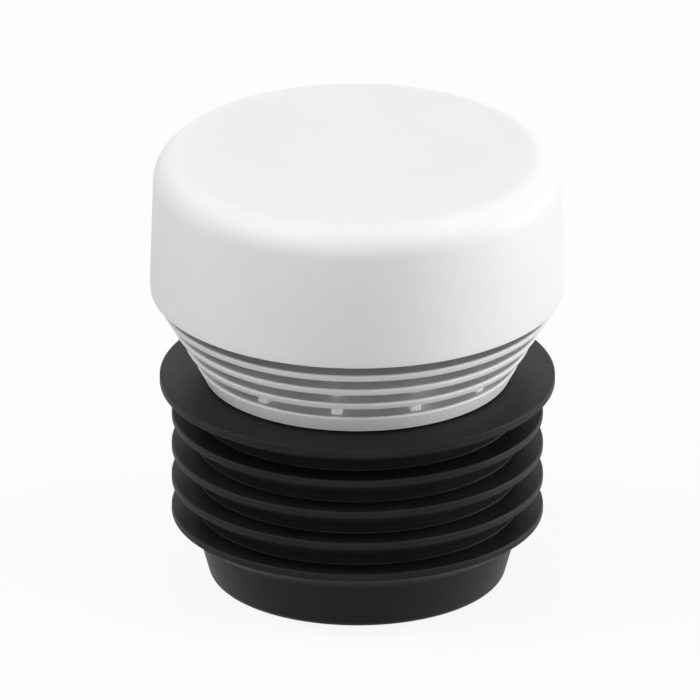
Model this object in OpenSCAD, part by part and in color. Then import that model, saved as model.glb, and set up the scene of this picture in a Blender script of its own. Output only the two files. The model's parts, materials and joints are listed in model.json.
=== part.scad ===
// Air admittance valve: a domed cap over a louvred intake cage, a membrane
// disc that lifts off two ring seats, and a finned rubber pipe sleeve.
// Millimetres, +Z up, origin at the centre of the sleeve's lower end.

/* [Rubber sleeve] */
// Bore that is pushed over the outside of a pipe
pipe_bore_d = 48; // [45:0.1:52]
// Wall thickness around the bore
sleeve_wall = 4.05; // [3.8:0.05:4.6]
// Outward lean of the wall from one fin up to the next
wall_lean = 0.45; // [0.1:0.05:0.8]
// Number of sealing fins
fins = 4; // [3:1:5]
// Spacing of the fins
fin_pitch = 5.97; // [5.5:0.01:6.8]
// Reach of a fin beyond the wall
fin_reach = 4.45; // [3.8:0.05:5]
// Thickness of a fin at its rim
fin_t = 1.3; // [1:0.05:1.6]
// Depth of a fin from its flat top to the root of its sloping underside
fin_depth = 4.35; // [3.6:0.05:5]
// Rounding of the rims of the fins and the flange
rim_round = 0.3; // [0.1:0.05:0.4]
// Height of the lowest fin above the sleeve's lower end
nose_h = 12.98; // [11.4:0.01:15]
// Rounding of the sleeve's lower edge
nose_round = 1.74; // [1.4:0.01:2]
// Flat end between the bore and that rounding
nose_flat = 0.34; // [0.2:0.02:0.5]
// Height of the flange above the top fin
flange_rise = 6.71; // [6:0.01:8]
// Thickness of the flange at its rim
flange_t = 1.55; // [1.2:0.05:2]
// Depth of the flange down to the root of its underside
flange_depth = 5; // [4.2:0.1:5.8]
// Overhang of the cap beyond the flange
flange_inset = 1.7; // [1:0.1:3]
// Opening of the lip that seals on a middle-sized pipe
lip_mid_d = 38.8; // [36:0.2:40]
// Opening of the lip that seals on a small pipe
lip_small_d = 30.8; // [28:0.2:33]
// Thickness of the lips at their edge
lip_t = 1.2; // [0.9:0.1:1.6]
// Thickness of the middle lip at its root
lip_mid_root = 2.7; // [2.2:0.1:3.2]
// Thickness of the small lip at its root
lip_small_root = 3.2; // [2.6:0.1:3.8]
// Free height between the two lips
lip_gap = 1.5; // [1:0.1:2.5]

/* [Valve body] */
// Step from the pipe bore in to the socket for the body's spigot
socket_step = 0.5; // [0.3:0.05:1]
// Length of the spigot below the flange
spigot_depth = 11.2; // [9.6:0.1:13]
// Wall thickness of the spigot
spigot_wall = 2.2; // [1.8:0.1:2.6]
// Radius of the spigot's retaining bead
bead_r = 1; // [0.8:0.05:1.2]
// Depth of the bead below the flange
bead_drop = 5.6; // [4.6:0.1:6.6]
// Step from the spigot's bore in to the riser's bore
riser_step = 1.25; // [0.9:0.05:1.7]
// Wall thickness of the riser, whose rim is the inner seat
riser_wall = 1.8; // [1.5:0.1:2.2]
// Width of the ring-shaped air passage between the seats
throat = 5; // [4.2:0.1:6]
// Wall thickness of the outer seat
seat_wall = 1.6; // [1.4:0.1:2]
// Width of the bevel that narrows each seat to its rim
seat_bevel = 0.45; // [0.3:0.05:0.6]
// Height of the seats above the deck's underside
seat_rise = 2.9; // [2.6:0.1:3.4]
// Thickness of the deck
deck_t = 1.6; // [1.3:0.1:1.9]
// Height of the deck above the cap's lower edge
deck_rise = 1.5; // [1.2:0.1:2]
// Gap between the membrane and the collar around it
collar_gap = 1.45; // [1:0.05:2]
// Wall thickness of the collar
collar_wall = 3.4; // [3.1:0.1:4]
// Height of the collar above the deck's underside
collar_h = 7.4; // [6.8:0.1:8.4]
// Depth of the groove for the seal ring
groove_depth = 2.2; // [2:0.05:2.4]
// Width of the groove for the seal ring
groove_w = 2.5; // [2.3:0.1:2.8]
// Height of the groove's middle above the deck's underside
groove_rise = 4.6; // [4:0.1:5.2]

/* [Intake cage] */
// Height of the bottom ring
ring_h = 3.55; // [3.1:0.05:5]
// Taper of the bottom ring towards its lower edge
ring_taper = 1.75; // [1.2:0.05:2.2]
// Gap between the bottom ring and the rubber flange
ring_gap = 0.25; // [0.1:0.05:0.6]
// Wall thickness of the bottom ring
ring_wall = 1.7; // [1.4:0.1:2]
// Thickness of the cage floor
floor_t = 1.6; // [1.3:0.1:2]
// Edge of the cage floor beyond the outer seat
floor_step = 0.15; // [0:0.05:1]
// Number of louvre slats
slats = 3; // [2:1:4]
// Thickness of a slat
slat_t = 1.4; // [1.1:0.1:1.8]
// Air gap below and above each slat
slat_gap = 2.1; // [1.7:0.05:2.6]
// Rounding of the slats' outer edges
slat_round = 0.35; // [0.1:0.05:0.45]
// Step from the cap's lower edge in to the cone of the slats
cap_lap = 0.25; // [0.1:0.05:0.6]
// Number of upright ribs that carry the slats
ribs = 12; // [8:1:16]
// Thickness of a rib
rib_t = 1.9; // [1.4:0.1:2.2]
// Distance of the ribs' outer edge behind the floor's edge
rib_inset = 1.35; // [0.8:0.05:1.6]
// Length of slat that reaches in past the ribs' outer edge
slat_lap = 2.2; // [1.6:0.1:3]

/* [Insect screen] */
// Number of slots
screen_slots = 48; // [24:4:60]
// Width of a slot
slot_w = 1.1; // [0.8:0.1:1.4]
// Width of the inner and outer rings
screen_band = 0.6; // [0.4:0.05:0.8]
// Thickness of the screen
screen_t = 0.9; // [0.7:0.1:1.2]

/* [Membrane disc] */
// Lift of the membrane disc off its seats
lift = 4.5; // [3:0.1:6]
// Thickness of the membrane
membrane_t = 1.3; // [1:0.1:1.6]
// Overhang of the membrane beyond the outer seat
membrane_lap = 0.8; // [0.5:0.05:1.2]
// Thickness of the carrier plate
carrier_t = 1.5; // [1.2:0.1:2]
// Gap between the riser and the lip that holds the membrane's inner edge
neck_gap = 0.7; // [0.5:0.05:1]
// Reach of that lip under the membrane
neck_lip = 0.7; // [0.4:0.05:0.9]
// Height of that lip
neck_lip_h = 1; // [0.8:0.05:1.4]
// Wall thickness of the carrier's neck
neck_wall = 1.6; // [1.3:0.1:2]
// Number of carrier spokes
spokes = 4; // [3:1:6]
// Width of a spoke
spoke_w = 3; // [2.4:0.1:4]
// Diameter of the hub
hub_d = 8.4; // [7.4:0.1:10]
// Height of the hub above the carrier plate
hub_rise = 0.75; // [0.4:0.05:1.5]
// Diameter of the guide stem
stem_d = 5; // [4:0.1:6]
// Bevel of the stem's top
stem_bevel = 0.6; // [0.3:0.1:0.9]

/* [Cap] */
// Wall thickness of the skirt that grips the collar
skirt_wall = 2; // [1.6:0.1:2.3]
// Wall thickness of the dome
cap_wall = 2.6; // [2.4:0.1:3.2]
// Radius of the rounded top edge
cap_round = 5.2; // [4.4:0.1:7]
// Draft of the side wall in degrees
cap_draft = 1.7; // [0.6:0.1:2.4]
// Height of the band below the skirt's parting line
skirt_band = 2.1; // [1.6:0.1:3]
// Taper of that band towards the lower edge
band_taper = 0.13; // [0.05:0.01:0.25]
// Reach of the snap bead under the deck
snap = 0.55; // [0.4:0.05:0.8]
// Height of the snap bead
snap_h = 1.15; // [0.8:0.05:1.3]
// Length of the stem guide below the ceiling
guide_h = 10; // [8:0.1:14]
// Wall thickness of the stem guide
guide_wall = 2; // [1.5:0.1:2.6]
// Gap left between hub and guide at full lift
stop_gap = 0.3; // [0.2:0.05:0.6]
// Gap left above the stem at full lift
stem_gap = 0.6; // [0.4:0.1:1]

/* [Fits] */
// Radial clearance between pieces that are fixed together
fit = 0.05; // [0.03:0.01:0.08]
// Radial clearance of the stem in its guide
run_fit = 0.05; // [0.03:0.01:0.08]
// Gap below the closed membrane
seat_gap = 0.05; // [0.03:0.01:0.08]
// Clearance around the section of the seal ring
seal_fit = 0.02; // [0.01:0.01:0.05]

/* [Hidden] */
$fn = 96;
WHITE = [0.93, 0.93, 0.92];
BLACK = [0.06, 0.06, 0.06];
GREY = [0.55, 0.56, 0.57];
// Overlap that merges the forms of one piece
sink = 0.5;
// Straight steps in the arc of a small rounding
arc_steps = 6;

// Radii from the pipe bore outwards to the cap
pipe_r = pipe_bore_d / 2;
wall_r = pipe_r + sleeve_wall;
fin_r = wall_r + fin_reach;
socket_r = pipe_r - socket_step;
spigot_r = socket_r - fit;
spigot_in = spigot_r - spigot_wall;
bead_c = spigot_r - bead_r / 3;
riser_r = spigot_in - riser_step;
riser_out = riser_r + riser_wall;
outer_in = riser_out + throat;
outer_out = outer_in + seat_wall;
membrane_r = outer_out + membrane_lap;
collar_in = membrane_r + collar_gap;
collar_r = collar_in + collar_wall;
groove_r = collar_r - groove_depth;
skirt_r = collar_r + fit;
side_r = skirt_r + skirt_wall;
floor_r = outer_out + floor_step;
ring_r = floor_r - ring_taper;
rib_r = floor_r - rib_inset;
slat_in = rib_r - slat_lap;

// Heights from the sleeve's lower end up to the cap's top
flange_z = nose_h + (fins - 1) * fin_pitch + flange_rise;
lip_small_z = flange_z - spigot_depth;
lip_mid_z = lip_small_z - lip_small_root - lip_gap;
pipe_stop = lip_mid_z - lip_mid_root;
bead_z = flange_z - bead_drop;
ring_z = flange_z + ring_gap;
floor_z = flange_z + ring_h;
pitch = slat_t + slat_gap;
cap_z = floor_z + slats * pitch + slat_gap;
part_z = cap_z + skirt_band;
deck_z = cap_z + deck_rise;
seat_z = deck_z + seat_rise;
rib_top = deck_z + sink;
groove_z = deck_z + groove_rise;
collar_top = deck_z + collar_h;
shoulder_z = collar_top + fit;
membrane_z = seat_z + seat_gap;
plate_z = membrane_z + membrane_t;
hub_z = plate_z + carrier_t + hub_rise;
guide_z = hub_z + lift + stop_gap;
ceiling_z = guide_z + guide_h;
stem_top = ceiling_z - lift - stem_gap;
top_z = ceiling_z + cap_wall;

// Outline of the cap and of the flange below it
cap_r = side_r + (shoulder_z - part_z) * tan(cap_draft);
cap_edge_r = cap_r - band_taper;
inner_round = cap_round - cap_wall;
round_z = top_z - cap_round;
tan_z = round_z + cap_round * sin(cap_draft);
tan_r = cap_r - (tan_z - part_z) * tan(cap_draft);
round_r = tan_r - cap_round * cos(cap_draft);
flange_r = cap_r - flange_inset;

// Nose of the sleeve
nose_c = pipe_r + nose_flat;
nose_a = atan((wall_r - nose_c - nose_round) / (nose_h - fin_depth - nose_round));

// Radius at height z on a slanting line from [r0, z0] to [r1, z1]
function slant(z, r0, z0, r1, z1) = r0 + (z - z0) * (r1 - r0) / (z1 - z0);

// Radius of the cage's cone at height z, from the floor's edge to the cap's
function cage_r(z) = slant(z, floor_r, floor_z, cap_edge_r - cap_lap, cap_z);

// Points of an arc round a centre, between two angles
function arc(centre, r, from, to) = [
    for (i = [0 : arc_steps])
        let (angle = from + (to - from) * i / arc_steps)
            centre + r * [cos(angle), sin(angle)]
];

// Ring with a flat top at height z, a rounded rim and an underside that slopes to its root
module fin_section(z, r, t, depth, root_r) {
    slope = atan((depth - t) / (r - root_r));
    mid = r - rim_round;
    low = z - t + rim_round * (1 / cos(slope) - tan(slope));
    polygon(concat(
        [[pipe_r, z - depth], [root_r, z - depth]],
        arc([mid, low], rim_round, slope - 90, 0),
        arc([mid, z - rim_round], rim_round, 0, 90),
        [[pipe_r, z]]
    ));
}

// Inner lip with a flat top at height z and a sloping underside
module lip_section(z, root, root_r, tip_r) {
    polygon([
        [root_r + sink, z - root],
        [root_r, z - root],
        [tip_r, z - lip_t],
        [tip_r, z],
        [root_r + sink, z]
    ]);
}

// Wall of the sleeve with its tapered, rounded nose, the fins and the flange
module sleeve_wall_section() {
    polygon(concat(
        [[pipe_r, 0]],
        arc([nose_c, nose_round], nose_round, -90, -nose_a),
        [[wall_r, nose_h - fin_depth], [wall_r, flange_z]],
        [[socket_r, flange_z], [socket_r, pipe_stop], [pipe_r, pipe_stop]]
    ));
    for (i = [0 : fins - 1]) {
        z = nose_h + i * fin_pitch;
        root_z = i < fins - 1 ? z + fin_pitch - fin_depth : flange_z - flange_depth;
        fin_section(z, fin_r, fin_t, fin_depth, wall_r + (i > 0 ? wall_lean : 0));
        polygon([
            [pipe_r, z],
            [wall_r, z],
            [wall_r + wall_lean, root_z],
            [pipe_r, root_z]
        ]);
    }
    fin_section(flange_z, flange_r, flange_t, flange_depth, wall_r + wall_lean);
}

module rubber_sleeve() {
    color(BLACK)
    union() {
        difference() {
            rotate_extrude()
                sleeve_wall_section();
            rotate_extrude()
                translate([bead_c, bead_z])
                    circle(r = bead_r + fit);
        }
        rotate_extrude()
            lip_section(lip_mid_z, lip_mid_root, pipe_r, lip_mid_d / 2);
        rotate_extrude()
            lip_section(lip_small_z, lip_small_root, socket_r, lip_small_d / 2);
    }
}

// Cage floor and the bottom ring that hangs from its edge
module body_floor_section() {
    lean = atan(ring_taper / (floor_z - ring_z));
    edge_z = floor_z - slat_round;
    edge_r = slant(edge_z, ring_r, ring_z, floor_r, floor_z) - slat_round / cos(lean);
    under_z = floor_z - floor_t;
    polygon(concat(
        [[ring_r - ring_wall, ring_z], [ring_r, ring_z]],
        arc([edge_r, edge_z], slat_round, -lean, 90),
        [[riser_r, floor_z], [riser_r, under_z]],
        [[slant(under_z, ring_r, ring_z, floor_r, floor_z) - ring_wall, under_z]]
    ));
}

// Spigot with its retaining bead, and the riser that narrows to the inner seat
module body_tube_section() {
    translate([spigot_in, lip_small_z + fit])
        square([spigot_wall, floor_z - sink - lip_small_z - fit]);
    translate([bead_c, bead_z])
        circle(r = bead_r);
    polygon([
        [riser_r, floor_z - floor_t],
        [riser_out, floor_z - floor_t],
        [riser_out, seat_z - seat_wall],
        [riser_out - seat_bevel, seat_z],
        [riser_r + seat_bevel, seat_z],
        [riser_r, seat_z - seat_wall]
    ]);
}

// One slat from height z upwards, its rounded outer edge on the cage's cone
module slat_section(z) {
    lean = atan((cap_edge_r - cap_lap - floor_r) / (cap_z - floor_z));
    inset = slat_round / cos(lean);
    low_z = z + slat_round;
    high_z = z + slat_t - slat_round;
    polygon(concat(
        [[slat_in, z]],
        arc([cage_r(low_z) - inset, low_z], slat_round, -90, -lean),
        arc([cage_r(high_z) - inset, high_z], slat_round, -lean, 90),
        [[slat_in, z + slat_t]]
    ));
}

// Deck with the outer seat, and the collar with its seal groove
module body_deck_section() {
    polygon([
        [outer_in, deck_z],
        [outer_out, deck_z],
        [outer_out, seat_z - seat_bevel],
        [outer_out - seat_bevel, seat_z],
        [outer_in + seat_bevel, seat_z],
        [outer_in, seat_z - seat_bevel]
    ]);
    polygon([
        [outer_in, deck_z],
        [collar_r, deck_z],
        [collar_r, groove_z - groove_w / 2],
        [groove_r, groove_z - groove_w / 2],
        [groove_r, groove_z + groove_w / 2],
        [collar_r, groove_z + groove_w / 2],
        [collar_r, collar_top],
        [collar_in, collar_top],
        [collar_in, deck_z + deck_t],
        [outer_in, deck_z + deck_t]
    ]);
}

module valve_body() {
    color(WHITE)
    union() {
        rotate_extrude()
            body_tube_section();
        rotate_extrude()
            body_floor_section();
        rotate_extrude()
            body_deck_section();
        for (i = [0 : slats - 1])
            rotate_extrude()
                slat_section(floor_z + slat_gap + i * pitch);
        for (i = [0 : ribs - 1])
            rotate([0, 0, i * 360 / ribs])
                translate([riser_out - sink, -rib_t / 2, floor_z - sink])
                    cube([rib_r - riser_out + sink, rib_t, rib_top - floor_z + sink]);
    }
}

// Dome and skirt, with the shoulder that sits on the body's collar
module cap_shell_section() {
    difference() {
        union() {
            polygon([
                [0, cap_z],
                [cap_edge_r, cap_z],
                [cap_r, part_z],
                [tan_r, tan_z],
                [round_r, round_z],
                [round_r, top_z],
                [0, top_z]
            ]);
            translate([round_r, round_z])
                circle(r = cap_round);
        }
        translate([0, cap_z - sink])
            square([skirt_r, shoulder_z - cap_z + sink]);
        polygon([
            [0, cap_z],
            [side_r - cap_wall, cap_z],
            [side_r - cap_wall, shoulder_z],
            [round_r + inner_round * cos(cap_draft), round_z + inner_round * sin(cap_draft)],
            [round_r, round_z],
            [round_r, ceiling_z],
            [0, ceiling_z]
        ]);
        translate([round_r, round_z])
            circle(r = inner_round);
    }
}

module cap() {
    snap_top = deck_z - fit;
    color(WHITE)
    union() {
        rotate_extrude()
            cap_shell_section();
        rotate_extrude()
            polygon([
                [skirt_r + sink, snap_top - snap_h],
                [skirt_r, snap_top - snap_h],
                [skirt_r - snap, snap_top - snap_h / 4],
                [skirt_r - snap, snap_top],
                [skirt_r + sink, snap_top]
            ]);
        rotate_extrude()
            translate([stem_d / 2 + run_fit, guide_z])
                square([guide_wall, guide_h + sink]);
    }
}

module cap_seal_ring() {
    color(BLACK)
    rotate_extrude()
        translate([(groove_r + skirt_r) / 2, groove_z])
            circle(r = (skirt_r - groove_r) / 2 - seal_fit);
}

module insect_screen() {
    screen_in = riser_out + fit;
    screen_out = outer_in - fit;
    color(GREY)
    translate([0, 0, rib_top])
    difference() {
        cylinder(r = screen_out, h = screen_t);
        translate([0, 0, -sink])
            cylinder(r = screen_in, h = screen_t + 2 * sink);
        for (i = [0 : screen_slots - 1])
            rotate([0, 0, (i + 0.5) * 360 / screen_slots])
                translate([screen_in + screen_band, -slot_w / 2, -sink])
                    cube([screen_out - screen_in - 2 * screen_band, slot_w, screen_t + 2 * sink]);
    }
}

// Inner edge of the membrane, on the neck of its carrier
neck_r = riser_r - neck_gap - neck_lip;

module membrane() {
    color(BLACK)
    rotate_extrude()
        translate([neck_r + fit, membrane_z])
            square([membrane_r - neck_r - fit, membrane_t]);
}

// Plate, neck with its lip, hub and guide stem
module carrier_section() {
    lip_z = membrane_z - fit;
    stem_r = stem_d / 2;
    translate([neck_r - neck_wall, plate_z])
        square([outer_out - neck_r + neck_wall, carrier_t]);
    polygon([
        [neck_r - neck_wall, plate_z + sink],
        [neck_r, plate_z + sink],
        [neck_r, lip_z],
        [neck_r + neck_lip, lip_z],
        [neck_r + neck_lip, lip_z - neck_lip_h / 2],
        [neck_r, lip_z - neck_lip_h],
        [neck_r - neck_wall, lip_z - neck_lip_h]
    ]);
    translate([0, plate_z])
        square([hub_d / 2, hub_z - plate_z]);
    polygon([
        [0, plate_z],
        [stem_r, plate_z],
        [stem_r, stem_top - stem_bevel],
        [stem_r - stem_bevel, stem_top],
        [0, stem_top]
    ]);
}

module membrane_carrier() {
    color(GREY)
    union() {
        rotate_extrude()
            carrier_section();
        for (i = [0 : spokes - 1])
            rotate([0, 0, i * 360 / spokes])
                translate([hub_d / 2 - sink, -spoke_w / 2, plate_z])
                    cube([neck_r - neck_wall / 2 - hub_d / 2 + sink, spoke_w, carrier_t]);
    }
}

cap();
cap_seal_ring();
valve_body();
insect_screen();
membrane();
membrane_carrier();
rubber_sleeve();
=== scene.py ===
"""Looks of the air admittance valve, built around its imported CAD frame."""

import json
import math

import bmesh
import bpy
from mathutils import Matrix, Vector

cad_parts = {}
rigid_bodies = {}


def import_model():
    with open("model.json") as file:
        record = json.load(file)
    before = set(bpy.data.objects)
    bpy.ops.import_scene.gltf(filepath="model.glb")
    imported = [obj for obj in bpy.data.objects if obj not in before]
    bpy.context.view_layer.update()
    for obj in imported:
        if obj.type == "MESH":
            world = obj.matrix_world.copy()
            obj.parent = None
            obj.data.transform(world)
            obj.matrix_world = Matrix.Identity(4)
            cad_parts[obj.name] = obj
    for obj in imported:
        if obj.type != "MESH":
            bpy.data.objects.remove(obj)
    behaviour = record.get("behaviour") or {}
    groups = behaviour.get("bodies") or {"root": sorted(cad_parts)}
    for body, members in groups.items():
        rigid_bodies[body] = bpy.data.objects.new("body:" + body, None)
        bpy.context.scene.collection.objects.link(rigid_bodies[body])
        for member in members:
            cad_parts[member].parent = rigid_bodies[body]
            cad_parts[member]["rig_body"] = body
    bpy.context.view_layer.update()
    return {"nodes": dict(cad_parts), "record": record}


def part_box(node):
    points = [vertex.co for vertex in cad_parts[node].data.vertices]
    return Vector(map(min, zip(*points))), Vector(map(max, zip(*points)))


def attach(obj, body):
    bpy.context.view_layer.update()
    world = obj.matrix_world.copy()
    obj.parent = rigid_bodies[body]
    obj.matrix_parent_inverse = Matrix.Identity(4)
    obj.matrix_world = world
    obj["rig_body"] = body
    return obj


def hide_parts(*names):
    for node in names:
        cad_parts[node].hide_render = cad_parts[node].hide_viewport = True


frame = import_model()

# Units and mesh fineness
MM = 0.001
SEGMENTS = 180
ARC_STEP = math.radians(10)
BEAD_STEPS = 8
EDGE_STEPS = 2
SHARP_ANGLE = math.radians(35)

# Boxes of the nodes in mm, and the radii of the pipe mounts
CAP_LOW, CAP_HIGH = (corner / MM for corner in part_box("cap"))
MEMBRANE_LOW, MEMBRANE_HIGH = (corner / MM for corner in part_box("membrane"))
SLEEVE_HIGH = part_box("rubber_sleeve")[1] / MM
BODY_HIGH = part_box("valve_body")[1] / MM
CARRIER_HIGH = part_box("membrane_carrier")[1] / MM
MOUNT_R = {mount["name"]: mount["dims"]["r_mm"] for mount in frame["record"]["mounts"]}

# Fits and edge roundings, in mm
FIT = 0.05
RIM_ROUND = 0.3
SLAT_ROUND = 0.35
EDGE_ROUND = 0.2
# Overlap that merges the forms of one moulding
SINK = 0.5

# Rubber sleeve, in mm
PIPE_R = MOUNT_R["pipe_socket"]
SLEEVE_WALL = 4.05
WALL_R = PIPE_R + SLEEVE_WALL
WALL_LEAN = 0.45
FLANGE_R = SLEEVE_HIGH.x
FLANGE_Z = SLEEVE_HIGH.z
FLANGE_T = 1.55
FLANGE_DEPTH = 5.0
FIN_R = MOUNT_R["pipe_plug"]
FIN_T = 1.3
FIN_DEPTH = 4.35
FIN_COUNT = 4
FIN_PITCH = 5.97
LOWEST_FIN = 12.98
NOSE_ROUND = 1.74
# Radius at which the nose's side would meet its flat end without the rounding
NOSE_EDGE = 25.66
SOCKET_STEP = 0.5
SOCKET_R = PIPE_R - SOCKET_STEP
SPIGOT_DEPTH = 11.2
LIP_T = 1.2
LIP_GAP = 1.5
LIP_SMALL_R = MOUNT_R["lip_small"]
LIP_SMALL_H = 3.2
LIP_SMALL_Z = FLANGE_Z - SPIGOT_DEPTH
LIP_SMALL_ROOT = LIP_SMALL_Z - LIP_SMALL_H
LIP_MID_R = MOUNT_R["lip_mid"]
LIP_MID_H = 2.7
LIP_MID_Z = LIP_SMALL_ROOT - LIP_GAP
PIPE_STOP = LIP_MID_Z - LIP_MID_H

# Valve body, in mm
SPIGOT_R = SOCKET_R - FIT
SPIGOT_WALL = 2.2
BEAD_R = 1.0
BEAD_DROP = 5.6
BEAD_SPREAD = math.radians(70)
BEAD_MID = SPIGOT_R - BEAD_R / 3
BEAD_Z = FLANGE_Z - BEAD_DROP
RISER_STEP = 1.25
RISER_WALL = 1.8
RISER_R = SPIGOT_R - SPIGOT_WALL - RISER_STEP
RISER_OUT = RISER_R + RISER_WALL
THROAT = 5.0
SEAT_WALL = 1.6
SEAT_BEVEL = 0.45
SEAT_IN = RISER_OUT + THROAT
SEAT_OUT = SEAT_IN + SEAT_WALL
SEAT_Z = MEMBRANE_LOW.z - FIT
DECK_RISE = 1.5
DECK_T = 1.6
DECK_Z = CAP_LOW.z + DECK_RISE
COLLAR_R = BODY_HIGH.x
COLLAR_TOP = BODY_HIGH.z
COLLAR_WALL = 3.4
GROOVE_DEPTH = 2.2
GROOVE_W = 2.5
GROOVE_RISE = 4.6
GROOVE_Z = DECK_Z + GROOVE_RISE

# Intake cage, in mm
FLOOR_STEP = 0.15
FLOOR_T = 1.6
FLOOR_R = SEAT_OUT + FLOOR_STEP
RING_H = 3.55
RING_GAP = 0.25
RING_TAPER = 1.75
RING_WALL = 1.7
FLOOR_Z = FLANGE_Z + RING_H
RING_R = FLOOR_R - RING_TAPER
RING_Z = FLANGE_Z + RING_GAP
RIB_COUNT = 12
RIB_T = 1.9
RIB_INSET = 1.35
RIB_R = FLOOR_R - RIB_INSET
RIB_TOP = DECK_Z + SINK
SLAT_COUNT = 3
SLAT_T = 1.4
SLAT_GAP = 2.1
SLAT_LAP = 2.2
SLAT_IN = RIB_R - SLAT_LAP

# Membrane and its carrier, in mm
MEMBRANE_R = MEMBRANE_HIGH.x
NECK_GAP = 0.7
NECK_LIP = 0.7
NECK_LIP_H = 1.0
NECK_WALL = 1.6
NECK_R = RISER_R - NECK_GAP - NECK_LIP
PLATE_T = 1.5
PLATE_Z = MEMBRANE_HIGH.z
PLATE_TOP = PLATE_Z + PLATE_T
HUB_R = 4.2
HUB_RISE = 0.75
HUB_TOP = PLATE_TOP + HUB_RISE
STEM_R = 2.5
STEM_BEVEL = 0.6
SPOKE_COUNT = 4
SPOKE_W = 3.0

# Cap, in mm
CAP_R = CAP_HIGH.x
CAP_Z = CAP_LOW.z
CAP_TOP = CAP_HIGH.z
CAP_DRAFT = math.tan(math.radians(1.7))
CAP_ROUND = 5.2
CAP_WALL = 2.6
CAP_LAP = 0.25
BAND_H = 2.1
BAND_TAPER = 0.13
PART_Z = CAP_Z + BAND_H
CAP_EDGE_R = CAP_R - BAND_TAPER
SKIRT_R = COLLAR_R + FIT
SNAP = 0.55
SNAP_H = 1.15
CEILING = CAP_TOP - CAP_WALL
GUIDE_R = STEM_R + FIT
GUIDE_WALL = 2.0
GUIDE_H = 10.0
GUIDE_Z = CEILING - GUIDE_H
CAGE_FLARE = (CAP_EDGE_R - CAP_LAP - FLOOR_R) / (CAP_Z - FLOOR_Z)

# Ends of the noise's middle range, where a colour drifts from its low tone to its high one
DRIFT = (0.3, 0.7)

# Camera, in metres and degrees
AIM = Vector((0, 0, 0.04188))
VIEW_WIDTH = 0.1225
VIEW_AZIMUTH = 7.7
VIEW_ELEVATION = 23.17
VIEW_SHIFT = 0.001286
VIEW_DISTANCE = 1.0

# Stage: the floor's half width in metres, and the world's light on the object
STAGE_HALF = 3.0
WORLD_FILL = 0.06
# Floor where it is seen: share of white glow, and tone of the paint
STAGE_WHITE = 0.9
STAGE_PAINT = 0.9
# Tone of the floor for the light that it throws back at the object
STAGE_BOUNCE = 0.3
# Name, azimuth, elevation, distance, width, height and power of each soft box, in degrees, metres and watts
LAMPS = (
    ("front_box", 10, 62, 0.9, 0.7, 0.7, 1.2),
    ("front_strip", 8, 1, 1.5, 1.33, 0.1, 7.4),
    ("right_box", 80, 50, 0.9, 0.5, 0.5, 3.3),
    ("right_strip", 105, 1, 1.5, 0.67, 0.1, 13.5),
    ("left_box", -75, 50, 0.9, 0.5, 0.5, 4.2),
    ("left_strip", -75, 1, 1.5, 0.5, 0.1, 3.0),
    ("back_box", 180, 50, 0.9, 0.8, 0.8, 2.0),
    ("back_strip", 188, 1, 1.5, 1.33, 0.1, 1.4),
)


def rounded(corners):
    """Outline points from corners (r, z, rounding), with an arc at each rounded corner."""
    outline = []
    for i, (r, z, rounding) in enumerate(corners):
        here = Vector((r, z))
        if rounding == 0:
            outline.append(here)
            continue
        back = (Vector(corners[i - 1][:2]) - here).normalized()
        ahead = (Vector(corners[(i + 1) % len(corners)][:2]) - here).normalized()
        half = back.angle(ahead) / 2
        centre = here + (back + ahead).normalized() * (rounding / math.sin(half))
        first = here + back * (rounding / math.tan(half)) - centre
        last = here + ahead * (rounding / math.tan(half)) - centre
        turn = first.angle_signed(last)
        start = math.atan2(first.y, first.x)
        steps = max(2, math.ceil(abs(turn) / ARC_STEP))
        for step in range(steps + 1):
            angle = start - turn * step / steps
            outline.append(centre + Vector((math.cos(angle), math.sin(angle))) * rounding)
    return outline


def bead_arc(radius, spread):
    """Corners of the retaining bead's arc, from one side of its middle to the other."""
    angles = (spread * (2 * step / BEAD_STEPS - 1) for step in range(BEAD_STEPS + 1))
    return [(BEAD_MID + radius * math.cos(a), BEAD_Z + radius * math.sin(a), 0) for a in angles]


def full_turn(count):
    """Angles of a full turn in equal steps."""
    return [2 * math.pi * k / count for k in range(count)]


def new_piece(name, mesh):
    """Object for a finished bmesh."""
    bmesh.ops.recalc_face_normals(mesh, faces=mesh.faces)
    data = bpy.data.meshes.new(name)
    mesh.to_mesh(data)
    mesh.free()
    piece = bpy.data.objects.new(name, data)
    bpy.context.scene.collection.objects.link(piece)
    return piece


def lathe(name, corners):
    """Solid made by turning a closed outline of corners (r, z, rounding) round Z."""
    mesh = bmesh.new()
    turns = full_turn(SEGMENTS)
    rings = []
    for r, z in rounded(corners):
        if r == 0:
            rings.append([mesh.verts.new((0, 0, z * MM))])
        else:
            spots = [(r * MM * math.cos(a), r * MM * math.sin(a), z * MM) for a in turns]
            rings.append([mesh.verts.new(spot) for spot in spots])
    for here, ahead in zip(rings, rings[1:] + rings[:1]):
        if len(here) == len(ahead) == 1:
            continue
        for k in range(SEGMENTS):
            following = (k + 1) % SEGMENTS
            face = [here[k % len(here)], here[following % len(here)]]
            face += [ahead[following % len(ahead)], ahead[k % len(ahead)]]
            mesh.faces.new(list(dict.fromkeys(face)))
    return new_piece(name, mesh)


def bar(name, inner, outer, width, low, high, turn):
    """Radial bar with softened edges, turned round Z by an angle."""
    mesh = bmesh.new()
    bmesh.ops.create_cube(mesh, size=1)
    for vert in mesh.verts:
        vert.co.x = inner + (outer - inner) * (vert.co.x + 0.5)
        vert.co.y *= width
        vert.co.z = low + (high - low) * (vert.co.z + 0.5)
    edges = mesh.edges[:]
    bmesh.ops.bevel(mesh, geom=edges, offset=EDGE_ROUND, segments=EDGE_STEPS, affect="EDGES", profile=0.5)
    for vert in mesh.verts:
        x, y, z = vert.co
        vert.co.x = (x * math.cos(turn) - y * math.sin(turn)) * MM
        vert.co.y = (x * math.sin(turn) + y * math.cos(turn)) * MM
        vert.co.z = z * MM
    return new_piece(name, mesh)


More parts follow.
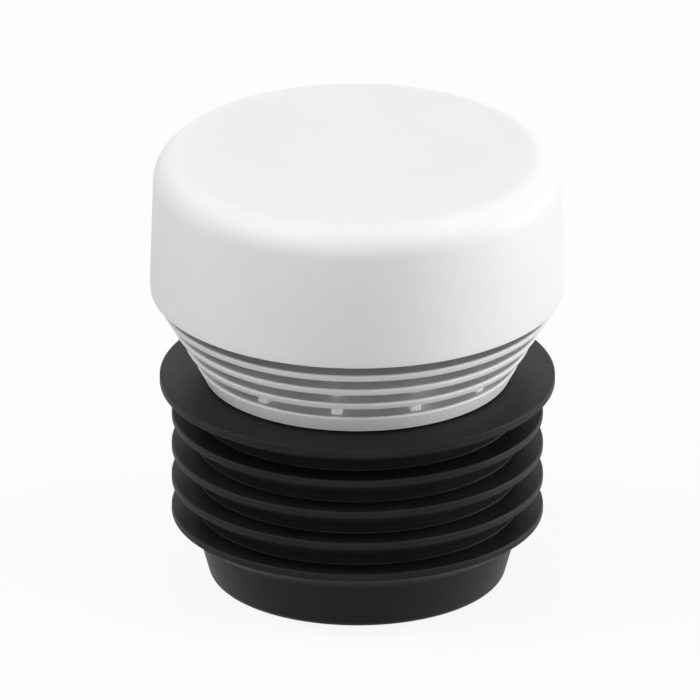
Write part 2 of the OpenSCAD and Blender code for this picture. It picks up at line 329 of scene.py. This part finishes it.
def fuse(base, others):
    """Joins other solids to the base and removes them."""
    for other in others:
        join = base.modifiers.new("join", "BOOLEAN")
        join.operation = "UNION"
        join.solver = "EXACT"
        join.object = other
    shapes = bpy.context.evaluated_depsgraph_get()
    fused = bpy.data.meshes.new_from_object(base.evaluated_get(shapes))
    base.modifiers.clear()
    base.data = fused
    for other in others:
        bpy.data.objects.remove(other)
    return base


def cage_r(z):
    """Radius of the cage's outer cone at height z."""
    return FLOOR_R + (z - FLOOR_Z) * CAGE_FLARE


def ring_r(z):
    """Radius of the bottom ring's outer face at height z."""
    return RING_R + (z - RING_Z) * (FLOOR_R - RING_R) / (FLOOR_Z - RING_Z)


def cap_side_r(z):
    """Radius of the cap's drafted side at height z."""
    return CAP_R - (z - PART_Z) * CAP_DRAFT


def make_cap():
    """Domed cap with its skirt, snap bead and inner guide."""
    shoulder = COLLAR_TOP + FIT
    snap_top = DECK_Z - FIT
    return lathe("cap_moulding", [
        (0, CAP_TOP, 0),
        (cap_side_r(CAP_TOP), CAP_TOP, CAP_ROUND),
        (CAP_R, PART_Z, 0),
        (CAP_EDGE_R, CAP_Z, EDGE_ROUND),
        (SKIRT_R, CAP_Z, EDGE_ROUND),
        (SKIRT_R, snap_top - SNAP_H, 0),
        (SKIRT_R - SNAP, snap_top - SNAP_H / 4, 0),
        (SKIRT_R - SNAP, snap_top, 0),
        (SKIRT_R, snap_top, 0),
        (SKIRT_R, shoulder, 0),
        (cap_side_r(shoulder) - CAP_WALL, shoulder, 0),
        (cap_side_r(CEILING) - CAP_WALL, CEILING, CAP_ROUND - CAP_WALL),
        (GUIDE_R + GUIDE_WALL, CEILING, EDGE_ROUND),
        (GUIDE_R + GUIDE_WALL, GUIDE_Z, EDGE_ROUND),
        (GUIDE_R, GUIDE_Z, EDGE_ROUND),
        (GUIDE_R, CEILING, 0),
        (0, CEILING, 0),
    ])


def make_body_core():
    """Spigot, floor, bottom ring and riser of the valve body."""
    under_floor = FLOOR_Z - FLOOR_T
    spigot_z = LIP_SMALL_Z + FIT
    return lathe("body_moulding", [
        (SPIGOT_R, spigot_z, EDGE_ROUND),
        *bead_arc(BEAD_R, BEAD_SPREAD),
        (SPIGOT_R, under_floor, 0),
        (ring_r(under_floor) - RING_WALL, under_floor, 0),
        (RING_R - RING_WALL, RING_Z, EDGE_ROUND),
        (RING_R, RING_Z, EDGE_ROUND),
        (FLOOR_R, FLOOR_Z, SLAT_ROUND),
        (RISER_OUT, FLOOR_Z, EDGE_ROUND),
        (RISER_OUT, SEAT_Z - DECK_T, 0),
        (RISER_OUT - SEAT_BEVEL, SEAT_Z, EDGE_ROUND),
        (RISER_R + SEAT_BEVEL, SEAT_Z, EDGE_ROUND),
        (RISER_R, SEAT_Z - DECK_T, 0),
        (RISER_R, under_floor, EDGE_ROUND),
        (SPIGOT_R - SPIGOT_WALL, under_floor, 0),
        (SPIGOT_R - SPIGOT_WALL, spigot_z, EDGE_ROUND),
    ])


def make_body_deck():
    """Deck with the outer seat and the collar with its seal groove."""
    collar_in = COLLAR_R - COLLAR_WALL
    groove_in = COLLAR_R - GROOVE_DEPTH
    groove_low, groove_high = GROOVE_Z - GROOVE_W / 2, GROOVE_Z + GROOVE_W / 2
    return lathe("body_deck", [
        (SEAT_IN, DECK_Z, EDGE_ROUND),
        (COLLAR_R, DECK_Z, EDGE_ROUND),
        (COLLAR_R, groove_low, 0),
        (groove_in, groove_low, 0),
        (groove_in, groove_high, 0),
        (COLLAR_R, groove_high, 0),
        (COLLAR_R, COLLAR_TOP, EDGE_ROUND),
        (collar_in, COLLAR_TOP, EDGE_ROUND),
        (collar_in, DECK_Z + DECK_T, EDGE_ROUND),
        (SEAT_OUT, DECK_Z + DECK_T, EDGE_ROUND),
        (SEAT_OUT, SEAT_Z - SEAT_BEVEL, 0),
        (SEAT_OUT - SEAT_BEVEL, SEAT_Z, EDGE_ROUND),
        (SEAT_IN + SEAT_BEVEL, SEAT_Z, EDGE_ROUND),
        (SEAT_IN, SEAT_Z - SEAT_BEVEL, 0),
    ])


def make_slat(index):
    """One louvre slat, its outer edge on the cage's cone."""
    low = FLOOR_Z + SLAT_GAP + index * (SLAT_T + SLAT_GAP)
    high = low + SLAT_T
    return lathe("slat", [
        (SLAT_IN, low, EDGE_ROUND),
        (cage_r(low), low, SLAT_ROUND),
        (cage_r(high), high, SLAT_ROUND),
        (SLAT_IN, high, EDGE_ROUND),
    ])


def make_body():
    """Valve body: core, deck, slats and ribs as one moulding."""
    slats = [make_slat(i) for i in range(SLAT_COUNT)]
    ribs = [
        bar("rib", RISER_OUT - SINK, RIB_R, RIB_T, FLOOR_Z - SINK, RIB_TOP, turn)
        for turn in full_turn(RIB_COUNT)
    ]
    return fuse(make_body_core(), [make_body_deck(), *slats, *ribs])


def make_sleeve():
    """Rubber sleeve with flange, fins, rounded nose and inner lips."""
    fins = []
    for i in range(FIN_COUNT):
        top = LOWEST_FIN + i * FIN_PITCH
        fins += [
            (WALL_R + (WALL_LEAN if i else 0), top - FIN_DEPTH, EDGE_ROUND),
            (FIN_R, top - FIN_T, RIM_ROUND),
            (FIN_R, top, RIM_ROUND),
            (WALL_R, top, EDGE_ROUND),
        ]
    groove_r = BEAD_R + FIT
    groove = bead_arc(groove_r, math.acos((SOCKET_R - BEAD_MID) / groove_r))
    return lathe("sleeve_moulding", [
        (PIPE_R, 0, EDGE_ROUND),
        (NOSE_EDGE, 0, NOSE_ROUND),
        *fins,
        (WALL_R + WALL_LEAN, FLANGE_Z - FLANGE_DEPTH, EDGE_ROUND),
        (FLANGE_R, FLANGE_Z - FLANGE_T, RIM_ROUND),
        (FLANGE_R, FLANGE_Z, RIM_ROUND),
        (SOCKET_R, FLANGE_Z, EDGE_ROUND),
        *reversed(groove),
        (SOCKET_R, LIP_SMALL_Z, 0),
        (LIP_SMALL_R, LIP_SMALL_Z, RIM_ROUND),
        (LIP_SMALL_R, LIP_SMALL_Z - LIP_T, RIM_ROUND),
        (SOCKET_R, LIP_SMALL_ROOT, EDGE_ROUND),
        (SOCKET_R, LIP_MID_Z, EDGE_ROUND),
        (LIP_MID_R, LIP_MID_Z, RIM_ROUND),
        (LIP_MID_R, LIP_MID_Z - LIP_T, RIM_ROUND),
        (PIPE_R, PIPE_STOP, EDGE_ROUND),
    ])


def make_membrane():
    """Flat rubber ring between the carrier's plate and its lip."""
    return lathe("membrane_ring", [
        (NECK_R + FIT, MEMBRANE_LOW.z, EDGE_ROUND),
        (MEMBRANE_R, MEMBRANE_LOW.z, RIM_ROUND),
        (MEMBRANE_R, MEMBRANE_HIGH.z, RIM_ROUND),
        (NECK_R + FIT, MEMBRANE_HIGH.z, EDGE_ROUND),
    ])


def make_carrier():
    """Carrier: plate with its neck, and the hub with its guide stem on spokes."""
    lip_top = MEMBRANE_LOW.z - FIT
    neck_in = NECK_R - NECK_WALL
    plate = lathe("carrier_moulding", [
        (neck_in, lip_top - NECK_LIP_H, EDGE_ROUND),
        (NECK_R, lip_top - NECK_LIP_H, 0),
        (NECK_R + NECK_LIP, lip_top - NECK_LIP_H / 2, 0),
        (NECK_R + NECK_LIP, lip_top, EDGE_ROUND),
        (NECK_R, lip_top, 0),
        (NECK_R, PLATE_Z, 0),
        (SEAT_OUT, PLATE_Z, EDGE_ROUND),
        (SEAT_OUT, PLATE_TOP, RIM_ROUND),
        (neck_in, PLATE_TOP, RIM_ROUND),
    ])
    hub = lathe("hub", [
        (0, PLATE_Z, 0),
        (HUB_R, PLATE_Z, RIM_ROUND),
        (HUB_R, HUB_TOP, RIM_ROUND),
        (STEM_R, HUB_TOP, EDGE_ROUND),
        (STEM_R, CARRIER_HIGH.z - STEM_BEVEL, EDGE_ROUND),
        (STEM_R - STEM_BEVEL, CARRIER_HIGH.z, EDGE_ROUND),
        (0, CARRIER_HIGH.z, 0),
    ])
    spokes = [
        bar("spoke", HUB_R - SINK, neck_in + SINK, SPOKE_W, PLATE_Z, PLATE_TOP, turn)
        for turn in full_turn(SPOKE_COUNT)
    ]
    return fuse(plate, [hub, *spokes])


class Surface:
    """Procedural material: one shader with noise that varies its colour, gloss and relief."""

    def __init__(self, slot):
        self.slot = slot
        self.material = bpy.data.materials.new(slot + "_finish")
        self.material.use_nodes = True
        self.tree = self.material.node_tree
        self.shader = self.tree.nodes["Principled BSDF"]
        self.place = self.tree.nodes.new("ShaderNodeTexCoord").outputs["Object"]

    def noise(self, scale, detail):
        """Noise over the object, with scale in cells per metre."""
        node = self.tree.nodes.new("ShaderNodeTexNoise")
        node.inputs["Scale"].default_value = scale
        node.inputs["Detail"].default_value = detail
        self.tree.links.new(self.place, node.inputs["Vector"])
        return node.outputs["Fac"]

    def colour(self, low, high, scale, detail=3):
        """Base colour that drifts between two near tones."""
        ramp = self.tree.nodes.new("ShaderNodeValToRGB")
        for stop, position, tone in zip(ramp.color_ramp.elements, DRIFT, (low, high)):
            stop.position = position
            stop.color = (*tone, 1)
        self.tree.links.new(self.noise(scale, detail), ramp.inputs["Fac"])
        self.tree.links.new(ramp.outputs["Color"], self.shader.inputs["Base Color"])
        return self

    def gloss(self, low, high, scale, detail=4):
        """Roughness that varies between two values."""
        spread = self.tree.nodes.new("ShaderNodeMapRange")
        spread.inputs["To Min"].default_value = low
        spread.inputs["To Max"].default_value = high
        self.tree.links.new(self.noise(scale, detail), spread.inputs["Value"])
        self.tree.links.new(spread.outputs["Result"], self.shader.inputs["Roughness"])
        return self

    def grain(self, scale, height, detail=4):
        """Fine moulded grain of that height in metres."""
        bump = self.tree.nodes.new("ShaderNodeBump")
        bump.inputs["Distance"].default_value = height
        self.tree.links.new(self.noise(scale, detail), bump.inputs["Height"])
        self.tree.links.new(bump.outputs["Normal"], self.shader.inputs["Normal"])
        return self

    def specular(self, level):
        """Strength of the reflection at right angles to the surface."""
        self.shader.inputs["Specular IOR Level"].default_value = level
        return self


def make_materials():
    """One finish per material slot of the record."""
    white = Surface("white_plastic").colour((0.785, 0.785, 0.78), (0.815, 0.815, 0.81), scale=45)
    white.gloss(0.52, 0.62, scale=900).grain(scale=5000, height=0.000012)
    rubber = Surface("sleeve_rubber").colour((0.0085, 0.0085, 0.0087), (0.0115, 0.0115, 0.0118), scale=120)
    rubber.gloss(0.43, 0.53, scale=700).grain(scale=3500, height=0.00001).specular(0.12)
    seal = Surface("seal_rubber").colour((0.012, 0.012, 0.012), (0.02, 0.02, 0.02), scale=300)
    seal.gloss(0.5, 0.65, scale=900).grain(scale=4000, height=0.00001)
    membrane = Surface("membrane_rubber").colour((0.03, 0.03, 0.032), (0.045, 0.045, 0.048), scale=200)
    membrane.gloss(0.5, 0.62, scale=800).grain(scale=4000, height=0.00001)
    carrier = Surface("carrier_plastic").colour((0.5, 0.51, 0.52), (0.56, 0.57, 0.58), scale=120)
    carrier.gloss(0.4, 0.52, scale=900).grain(scale=4500, height=0.00001)
    screen = Surface("screen_plastic").colour((0.36, 0.37, 0.38), (0.42, 0.43, 0.44), scale=200)
    screen.gloss(0.45, 0.58, scale=900).grain(scale=4500, height=0.00001)
    surfaces = (white, rubber, seal, membrane, carrier, screen)
    return {surface.slot: surface.material for surface in surfaces}


def smooth(piece):
    """Smooth shading with edges above SHARP_ANGLE kept sharp."""
    for polygon in piece.data.polygons:
        polygon.use_smooth = True
    piece.data.set_sharp_from_angle(angle=SHARP_ANGLE)


def dress(piece, material):
    """Gives a piece its one material."""
    piece.data.materials.clear()
    piece.data.materials.append(material)


def finish_piece(piece, node, material):
    """Dresses a piece, and lets it stand for the CAD node on that node's body."""
    dress(piece, material)
    smooth(piece)
    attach(piece, frame["nodes"][node]["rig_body"])
    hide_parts(node)


def shader_nodes(owner):
    """Emptied node tree of a material or world, as its nodes and links."""
    owner.use_nodes = True
    owner.node_tree.nodes.clear()
    return owner.node_tree.nodes, owner.node_tree.links


def seen_directly(nodes, links):
    """1 for camera, glossy and transmission rays, 0 for the light that falls on the object."""
    path = nodes.new("ShaderNodeLightPath")
    total = path.outputs["Is Camera Ray"]
    for ray in ("Is Glossy Ray", "Is Transmission Ray"):
        either = nodes.new("ShaderNodeMath")
        either.operation = "MAXIMUM"
        links.new(total, either.inputs[0])
        links.new(path.outputs[ray], either.inputs[1])
        total = either.outputs["Value"]
    return total


def make_floor_material():
    """Paint that takes the object's shadow, with a white glow where it is seen."""
    material = bpy.data.materials.new("floor_white")
    nodes, links = shader_nodes(material)
    paint = nodes.new("ShaderNodeBsdfDiffuse")
    white = nodes.new("ShaderNodeEmission")
    seen = seen_directly(nodes, links)
    tone = nodes.new("ShaderNodeMath")
    tone.operation = "MULTIPLY_ADD"
    tone.inputs[1].default_value = STAGE_PAINT - STAGE_BOUNCE
    tone.inputs[2].default_value = STAGE_BOUNCE
    share = nodes.new("ShaderNodeMath")
    share.operation = "MULTIPLY"
    share.inputs[1].default_value = STAGE_WHITE
    mix = nodes.new("ShaderNodeMixShader")
    output = nodes.new("ShaderNodeOutputMaterial")
    links.new(seen, tone.inputs[0])
    links.new(tone.outputs["Value"], paint.inputs["Color"])
    links.new(seen, share.inputs[0])
    links.new(share.outputs["Value"], mix.inputs["Fac"])
    links.new(paint.outputs["BSDF"], mix.inputs[1])
    links.new(white.outputs["Emission"], mix.inputs[2])
    links.new(mix.outputs["Shader"], output.inputs["Surface"])
    return material


def make_floor():
    """Plain white floor under the object."""
    mesh = bmesh.new()
    bmesh.ops.create_grid(mesh, x_segments=1, y_segments=1, size=STAGE_HALF)
    floor = new_piece("floor", mesh)
    dress(floor, make_floor_material())


def make_world():
    """Even studio light, white where it is seen."""
    world = bpy.data.worlds.new("studio")
    bpy.context.scene.world = world
    nodes, links = shader_nodes(world)
    fill = nodes.new("ShaderNodeBackground")
    fill.inputs["Color"].default_value = (1, 1, 1, 1)
    fill.inputs["Strength"].default_value = WORLD_FILL
    white = nodes.new("ShaderNodeBackground")
    white.inputs["Color"].default_value = (1, 1, 1, 1)
    mix = nodes.new("ShaderNodeMixShader")
    output = nodes.new("ShaderNodeOutputWorld")
    links.new(seen_directly(nodes, links), mix.inputs["Fac"])
    links.new(fill.outputs["Background"], mix.inputs[1])
    links.new(white.outputs["Background"], mix.inputs[2])
    links.new(mix.outputs["Shader"], output.inputs["Surface"])


def direction(azimuth, elevation):
    """Unit vector from the object towards a viewer there; azimuth 0 stands on the -Y side."""
    turn, tilt = math.radians(azimuth), math.radians(elevation)
    return Vector((math.sin(turn) * math.cos(tilt), -math.cos(turn) * math.cos(tilt), math.sin(tilt)))


def make_lamp(name, azimuth, elevation, distance, width, height, power):
    """Soft box that faces the middle of the object."""
    data = bpy.data.lights.new(name, "AREA")
    data.shape = "RECTANGLE"
    data.size = width
    data.size_y = height
    data.energy = power
    lamp = bpy.data.objects.new(name, data)
    bpy.context.scene.collection.objects.link(lamp)
    back = direction(azimuth, elevation)
    lamp.location = AIM + back * distance
    lamp.rotation_euler = back.to_track_quat("Z", "Y").to_euler()


def make_camera():
    """Parallel view from the photograph's angle."""
    data = bpy.data.cameras.new("camera")
    data.type = "ORTHO"
    data.ortho_scale = VIEW_WIDTH
    camera = bpy.data.objects.new("camera", data)
    bpy.context.scene.collection.objects.link(camera)
    back = direction(VIEW_AZIMUTH, VIEW_ELEVATION)
    right = direction(VIEW_AZIMUTH + 90, 0)
    camera.location = AIM - right * VIEW_SHIFT + back * VIEW_DISTANCE
    camera.rotation_euler = back.to_track_quat("Z", "Y").to_euler()
    bpy.context.scene.camera = camera


make_camera()
make_world()
make_floor()
for lamp in LAMPS:
    make_lamp(*lamp)

materials = make_materials()
for make, node, slot in (
    (make_cap, "cap", "white_plastic"),
    (make_body, "valve_body", "white_plastic"),
    (make_sleeve, "rubber_sleeve", "sleeve_rubber"),
    (make_membrane, "membrane", "membrane_rubber"),
    (make_carrier, "membrane_carrier", "carrier_plastic"),
):
    finish_piece(make(), node, materials[slot])
for node, slot in (("cap_seal_ring", "seal_rubber"), ("insect_screen", "screen_plastic")):
    dress(frame["nodes"][node], materials[slot])

bpy.context.scene.view_settings.view_transform = "Standard"
